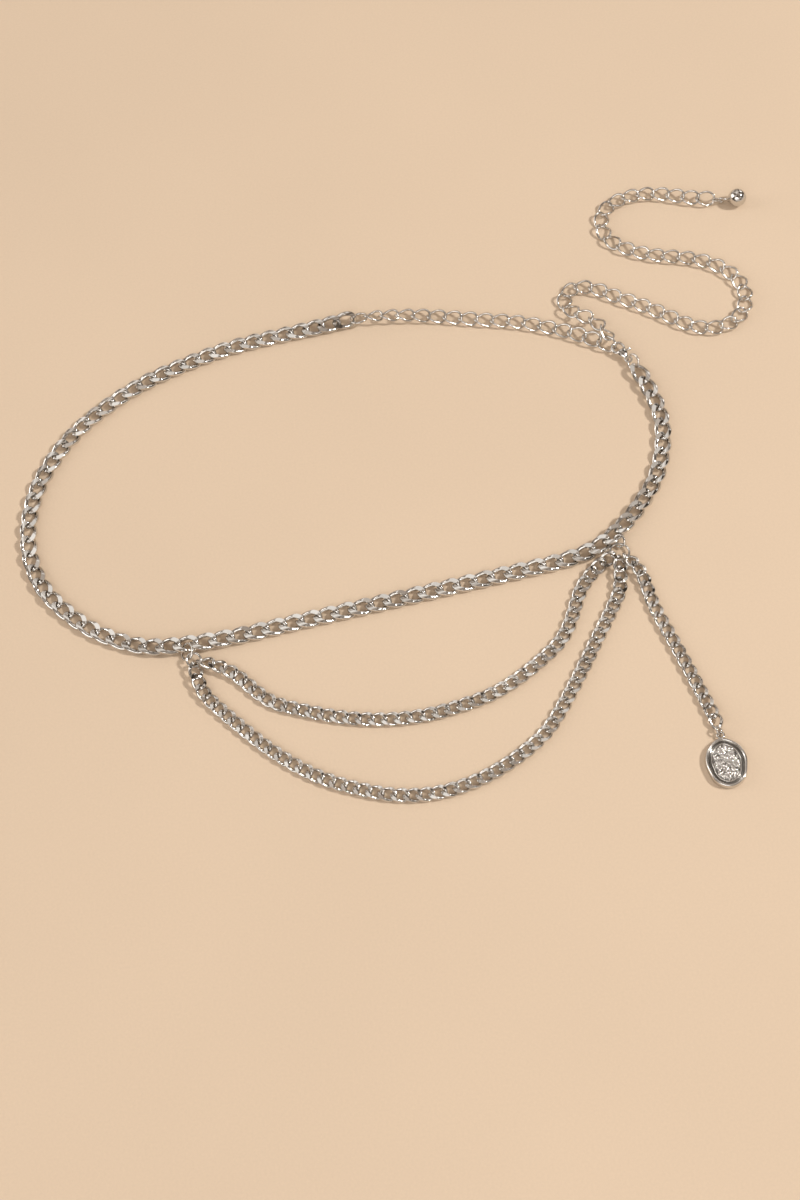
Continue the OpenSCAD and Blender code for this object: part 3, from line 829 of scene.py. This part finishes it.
class WAISTCHAIN_OT_rings(bpy.types.Operator):
    """Models the jump rings, each with the fine cut where it was closed"""

    bl_idname = "waist_chain.rings"
    bl_label = "Jump rings"

    def execute(self, context):
        sizes = context.scene.waist_chain_sizes
        for k, (name, (centre, axis, radius)) in enumerate(RINGS.items()):
            wire = sizes.small_ring_wire if name in SMALL_RINGS else sizes.ring_wire
            gap = math.degrees(RING_CUT / (radius * MM))
            piece = bent_wire(name + "_wire", radius * MM, wire, 0, 360 - gap, steps=72)
            turn = Vector(axis).to_track_quat("Z", "Y").to_matrix().to_4x4()
            turn.translation = Vector(centre) * MM
            piece.data.transform(turn @ Matrix.Rotation(FIRST_CUT + CUT_STEP * k, 4, "Z"))
            smooth(piece, 50)
            dress(piece, ring_metal(), "chain", "rings", name)
        return {"FINISHED"}


class WAISTCHAIN_OT_clasp(bpy.types.Operator):
    """Models the lobster clasp: its body with hook and eye, its lever and its pin"""

    bl_idname = "waist_chain.clasp"
    bl_label = "Clasp"

    def execute(self, context):
        place = Matrix.Translation(CLASP_AT * MM) @ Matrix.Rotation(math.radians(CLASP_TURN), 4, "Z")
        hook_middle = Vector((HOOK_MIDDLE * MM, 0, 0))
        pivot = PIVOT * MM

        hook = bent_wire("clasp_hook", HOOK_RADIUS * MM, HOOK_WIRE * MM, -75, 182, steps=72)
        hook.data.transform(Matrix.Translation(hook_middle))
        sweep = drill(pivot, 2 * (TIP_RADIUS + TIP_PLAY))
        carve(sweep, cutter("cube", TIP_BOX_AT * MM, metres(*TIP_BOX_SIZE)), "INTERSECT")
        carve(hook, sweep)
        eye = wire_ring("clasp_eye", EYE_RADIUS * MM, EYE_WIRE * MM)
        eye.data.transform(Matrix.Translation((EYE_MIDDLE * MM, 0, 0)))
        body = turned_piece("clasp_barrel", BARREL)
        body.data.transform(Matrix.Scale(FLARE, 4, (0, 1, 0)))
        carve(body, drill(hook_middle, HOOK_OPENING))
        piece = join([body, hook, eye], "clasp_casting")
        modify(piece, "REMESH", mode="VOXEL", voxel_size=0.11 * MM, use_smooth_shade=True)
        carve(piece, cutter("cube", SLOT_AT * MM, metres(*SLOT_SIZE)))
        modify(piece, "REMESH", mode="VOXEL", voxel_size=0.11 * MM, use_smooth_shade=True)
        modify(piece, "SMOOTH", factor=0.5, iterations=9)
        modify(piece, "DECIMATE", ratio=0.5)
        carve(piece, drill(pivot, PIN_HOLE))
        piece.data.transform(place)
        smooth(piece, 60)
        dress(piece, metal("clasp_polish", dents=0.06), "chain", "clasp", "clasp_body")

        gate = bent_wire("lever_gate", HOOK_RADIUS * MM, LEVER_WIRE * MM, -150, -50, steps=36)
        gate.data.transform(Matrix.Translation(hook_middle))
        carve(gate, drill(pivot, 2 * TIP_RADIUS), "INTERSECT")
        deselect()
        bpy.ops.mesh.primitive_cylinder_add(vertices=48, radius=BOSS_RADIUS * MM, depth=LEVER_WIRE * MM,
                                            location=pivot)
        boss = bpy.context.object
        settle(boss)
        nub = turned_piece("lever_nub", NUB, segments=32)
        nub.data.transform(Matrix.Translation(pivot) @ Matrix.Rotation(math.radians(NUB_TURN), 4, "Z"))
        lever = join([gate, boss, nub], "clasp_thumb_lever")
        modify(lever, "REMESH", mode="VOXEL", voxel_size=0.09 * MM, use_smooth_shade=True)
        modify(lever, "SMOOTH", factor=0.5, iterations=3)
        modify(lever, "DECIMATE", ratio=0.6)
        carve(lever, drill(pivot, LEVER_BORE))
        lever.data.transform(place)
        smooth(lever, 60)
        dress(lever, metal("clasp_polish"), "lever", "clasp", "clasp_lever")

        deselect()
        bpy.ops.mesh.primitive_cylinder_add(vertices=32, radius=PIN_RADIUS * MM, depth=PIN_LENGTH * MM,
                                            location=pivot)
        pin = bpy.context.object
        settle(pin)
        modify(pin, "BEVEL", width=0.12 * MM, segments=3)
        pin.data.transform(place)
        pin.name = "clasp_rivet"
        smooth(pin)
        dress(pin, ring_metal(), "chain", "clasp", "clasp_pin")
        return {"FINISHED"}


def edge(angle):
    """Radius of the pendant's outline in millimetres: an oval with a soft, uneven edge."""
    across, along = PENDANT_HALF
    c, s = math.cos(math.radians(angle)), math.sin(math.radians(angle))
    oval = across * along / math.hypot(along * c, across * s)
    wave = (0.012 * math.sin(math.radians(3 * angle + 40)) + 0.010 * math.sin(math.radians(5 * angle))
            + 0.006 * math.sin(math.radians(8 * angle + 70)) - 0.015)
    return oval * (1 + wave)


def grains(count, seed=4):
    """Places, sizes and heights of the relief's grains, spread evenly over the field."""
    chance = random.Random(seed)
    out = []
    for k in range(count):
        r = math.sqrt((k + 0.5) / count)
        a = k * GOLDEN_ANGLE + chance.uniform(-0.12, 0.12)
        out.append((r * math.cos(a), r * math.sin(a), chance.uniform(0.75, 1.25), chance.uniform(0.55, 1.0)))
    return out


class WAISTCHAIN_OT_pendant(bpy.types.Operator):
    """Models the oval pendant: rim, groove, inner ring and a field of raised grains"""

    bl_idname = "waist_chain.pendant"
    bl_label = "Pendant"

    def execute(self, context):
        relief = context.scene.waist_chain_sizes.relief / MM
        around, field_rings = 180, 44
        field_inset = PENDANT_RIM[-1][0]
        deselect()
        bpy.ops.mesh.primitive_circle_add(vertices=around, radius=1, fill_type="NGON")
        piece = bpy.context.object
        bpy.ops.object.mode_set(mode="EDIT")
        bpy.ops.mesh.select_all(action="SELECT")
        for _ in range(len(PENDANT_RIM) + field_rings - 1):
            bpy.ops.mesh.extrude_region_move(TRANSFORM_OT_translate={"value": (0, 0, 1.0)})
        bpy.ops.object.mode_set(mode="OBJECT")
        mesh = piece.data
        spots = grains(GRAINS)
        depth = mesh.attributes.new("depth", "FLOAT", "POINT")
        # The height of each point counts the rings of the extruded circle, from the underside to the middle.
        for v in mesh.vertices:
            ring = round(v.co.z)
            angle = math.degrees(math.atan2(v.co.y, v.co.x))
            c, s = math.cos(math.radians(angle)), math.sin(math.radians(angle))
            if ring < len(PENDANT_RIM):
                inset, z = PENDANT_RIM[ring]
                v.co = ((edge(angle) - inset) * c, (edge(angle) - inset) * s, z)
                # Painted shade: the groove's bottom, below its top, gets the full shade colour.
                in_shaded_groove = GROOVE[0] < inset < GROOVE[1] and z < GROOVE_TOP
                depth.data[v.index].value = 1.0 if in_shaded_groove else 0.0
            else:
                t = (ring - len(PENDANT_RIM) + 1) / field_rings
                r = (edge(angle) - field_inset) * max(1 - t, 0.004)
                x, y = r * c, r * s
                rise = 0.0
                for gx, gy, size, height in spots:
                    d = math.hypot(x - gx * GRAIN_OVAL[0], y - gy * GRAIN_OVAL[1]) / (GRAIN_RADIUS * size)
                    if d < 1:
                        rise = max(rise, height * (1 - d * d))
                v.co = (x, y, FIELD_HEIGHT + FIELD_CROWN * (1 - (1 - t) ** 2) + relief * rise)
                # Painted shade between the grains: the lower a point lies, the darker its colour; none near
                # the grains' tops.
                depth.data[v.index].value = max(0.0, 1.0 - 2.2 * rise)
        for v in mesh.vertices:
            v.co *= MM
        tidy_mesh(piece)
        loop = wire_ring("pendant_loop", PENDANT_LOOP_RADIUS * MM, PENDANT_LOOP_WIRE * MM)
        loop.data.transform(Matrix.Translation(PENDANT_LOOP_AT * MM))
        carve(piece, loop, "UNION")
        piece.name = piece.data.name = "pendant_casting"
        place = Matrix.Translation(PENDANT_AT * MM) @ Matrix.Rotation(math.radians(PENDANT_TURN), 4, "Z")
        piece.data.transform(place)
        smooth(piece, 60)
        colours = context.scene.waist_chain_colours
        # The pendant's metal carries painted shade in its hollows.
        material = shaded_cast_metal("pendant_metal", tuple(colours.silver), tuple(colours.hollow_shade), roughness=0.14)
        dress(piece, material, "chain", "pendant", "pendant")
        return {"FINISHED"}


class WAISTCHAIN_OT_ball(bpy.types.Operator):
    """Models the polished ball with its neck and loop"""

    bl_idname = "waist_chain.ball"
    bl_label = "Ball"

    def execute(self, context):
        radius = context.scene.waist_chain_sizes.ball_radius
        place = (Matrix.Translation(BALL_AT * MM) @ Matrix.Rotation(math.radians(NECK_TURN), 4, "Z")
                 @ Matrix.Rotation(math.radians(NECK_DROP), 4, "Y"))
        deselect()
        bpy.ops.mesh.primitive_ico_sphere_add(subdivisions=6, radius=radius)
        ball = bpy.context.object
        neck = turned_piece("ball_neck", BALL_NECK)
        loop = wire_ring("ball_loop", BALL_LOOP_RADIUS * MM, BALL_LOOP_WIRE * MM)
        upright = Matrix.Rotation(math.pi / 2, 4, "X")
        loop.data.transform(Matrix.Translation((BALL_LOOP_MIDDLE * MM, 0, 0)) @ upright)
        carve(ball, neck, "UNION")
        carve(ball, loop, "UNION")
        piece = join([ball], "ball_casting")
        piece.data.transform(place)
        smooth(piece, 50)
        dress(piece, metal("mirror_ball", dents=0.02, wear=0.02), "chain", "ball", "ball_drop")
        return {"FINISHED"}


def area_light(name, place, width, length, power, colour):
    """A rectangular light that faces the middle of the table."""
    deselect()
    bpy.ops.object.light_add(type="AREA", location=place)
    light = bpy.context.object
    light.name = name
    light.data.shape = "RECTANGLE"
    light.data.size, light.data.size_y = width, length
    light.data.energy = power
    light.data.color = colour
    light.rotation_euler = (Vector((0, 0, 0)) - Vector(place)).to_track_quat("-Z", "Y").to_euler()


def panel_of_light(tree, way, light, direction, inner, outer, strength):
    """Adds a soft round panel to the light from the surroundings."""
    facing = node(tree, "ShaderNodeVectorMath", operation="DOT_PRODUCT")
    facing.inputs[1].default_value = Vector(direction).normalized()
    tree.links.new(way.outputs["Generated"], facing.inputs[0])
    edge_of_light, full_light = math.cos(math.radians(outer)), math.cos(math.radians(inner))
    fall = node(tree, "ShaderNodeMapRange", interpolation_type="SMOOTHSTEP",
                From_Min=edge_of_light, From_Max=full_light, To_Max=strength)
    tree.links.new(facing.outputs["Value"], fall.inputs["Value"])
    total = node(tree, "ShaderNodeMath", operation="ADD")
    tree.links.new(light, total.inputs[0])
    tree.links.new(fall.outputs["Result"], total.inputs[1])
    return total.outputs["Value"]


class WAISTCHAIN_OT_stage(bpy.types.Operator):
    """Sets the table, the soft light and the camera"""

    bl_idname = "waist_chain.stage"
    bl_label = "Stage"

    def execute(self, context):
        scene = context.scene
        deselect()
        bpy.ops.mesh.primitive_plane_add(size=TABLE_SIZE, location=(0, 0, TABLE_HEIGHT))
        floor = bpy.context.object
        floor.name = "table"
        settle(floor)
        floor.data.materials.append(table_material(tuple(scene.waist_chain_colours.table)))
        area_light("key", (2.3, -0.1, 2.3), width=0.3, length=0.3, power=62, colour=(1.0, 0.97, 0.93))
        area_light("front_fill", (-0.35, -1.5, 1.5), width=1.2, length=0.6, power=6, colour=(1.0, 0.98, 0.96))
        area_light("side_strip", (-1.3, 0.1, 0.8), width=0.2, length=1.0, power=2.5, colour=(1.0, 0.97, 0.94))
        world = bpy.data.worlds.new("studio")
        scene.world = world
        world.use_nodes = True
        tree = world.node_tree
        background = tree.nodes["Background"]
        way = tree.nodes.new("ShaderNodeTexCoord")
        patches = node(tree, "ShaderNodeTexNoise", Scale=3.1, Detail=1.5)
        tree.links.new(way.outputs["Generated"], patches.inputs["Vector"])
        ramp = node(tree, "ShaderNodeMapRange", interpolation_type="SMOOTHSTEP",
                    From_Min=0.40, From_Max=0.62, To_Min=0.035, To_Max=0.70)
        tree.links.new(patches.outputs["Fac"], ramp.inputs["Value"])
        light = ramp.outputs["Result"]
        for direction, inner, outer, strength in PANELS:
            light = panel_of_light(tree, way, light, direction, inner, outer, strength)
        tree.links.new(light, background.inputs["Strength"])
        # Weak light is warm and strong light nearly white. Only the camera sees the plain backdrop.
        warmth = blend(tree, light, (1.0, 0.74, 0.54), (1.0, 0.96, 0.91))
        tree.links.new(warmth, background.inputs["Color"])
        backdrop = node(tree, "ShaderNodeBackground", Color=(0.78, 0.66, 0.53, 1))
        path = tree.nodes.new("ShaderNodeLightPath")
        seen = tree.nodes.new("ShaderNodeMixShader")
        tree.links.new(path.outputs["Is Camera Ray"], seen.inputs[0])
        tree.links.new(background.outputs["Background"], seen.inputs[1])
        tree.links.new(backdrop.outputs["Background"], seen.inputs[2])
        tree.links.new(seen.outputs["Shader"], tree.nodes["World Output"].inputs["Surface"])
        deselect()
        bpy.ops.object.camera_add()
        camera = bpy.context.object
        elevation, roll = math.radians(CAMERA_ELEVATION), math.radians(CAMERA_ROLL)
        away = Vector((0, -math.cos(elevation), math.sin(elevation)))
        camera.location = CAMERA_AIM + CAMERA_DISTANCE * away
        look = (CAMERA_AIM - camera.location).to_track_quat("-Z", "Y").to_matrix().to_4x4()
        camera.rotation_euler = (look @ Matrix.Rotation(roll, 4, "Z")).to_euler()
        camera.data.sensor_width = SENSOR_MM
        camera.data.lens = FOCAL_PIXELS / LONG_SIDE_PIXELS * SENSOR_MM
        scene.camera = camera
        scene.view_settings.view_transform = "Standard"
        return {"FINISHED"}


class WAISTCHAIN_PT_panel(bpy.types.Panel):
    """Lists the pieces of the waist chain"""

    bl_idname = "WAISTCHAIN_PT_panel"
    bl_label = "Waist chain"
    bl_space_type = "VIEW_3D"
    bl_region_type = "UI"
    bl_category = "Waist chain"

    def draw(self, context):
        layout = self.layout
        for group in (context.scene.waist_chain_sizes, context.scene.waist_chain_colours):
            box = layout.box()
            for name in group.__annotations__:
                box.prop(group, name)
        for operator in OPERATORS:
            layout.operator(operator.bl_idname)


OPERATORS = (
    WAISTCHAIN_OT_belt_chain,
    WAISTCHAIN_OT_front_chains,
    WAISTCHAIN_OT_extension,
    WAISTCHAIN_OT_rings,
    WAISTCHAIN_OT_clasp,
    WAISTCHAIN_OT_pendant,
    WAISTCHAIN_OT_ball,
    WAISTCHAIN_OT_stage,
)
CLASSES = (WaistChainSizes, WaistChainColours, *OPERATORS, WAISTCHAIN_PT_panel)


def register():
    """Registers the classes and their settings."""
    for cls in CLASSES:
        bpy.utils.register_class(cls)
    bpy.types.Scene.waist_chain_sizes = PointerProperty(type=WaistChainSizes)
    bpy.types.Scene.waist_chain_colours = PointerProperty(type=WaistChainColours)


def unregister():
    """Removes what register added."""
    del bpy.types.Scene.waist_chain_colours
    del bpy.types.Scene.waist_chain_sizes
    for cls in reversed(CLASSES):
        bpy.utils.unregister_class(cls)


def main():
    """Models every piece in order."""
    register()
    bpy.ops.waist_chain.belt_chain()
    bpy.ops.waist_chain.front_chains()
    bpy.ops.waist_chain.extension()
    bpy.ops.waist_chain.rings()
    bpy.ops.waist_chain.clasp()
    bpy.ops.waist_chain.pendant()
    bpy.ops.waist_chain.ball()
    bpy.ops.waist_chain.stage()


if __name__ == "__main__":
    main()
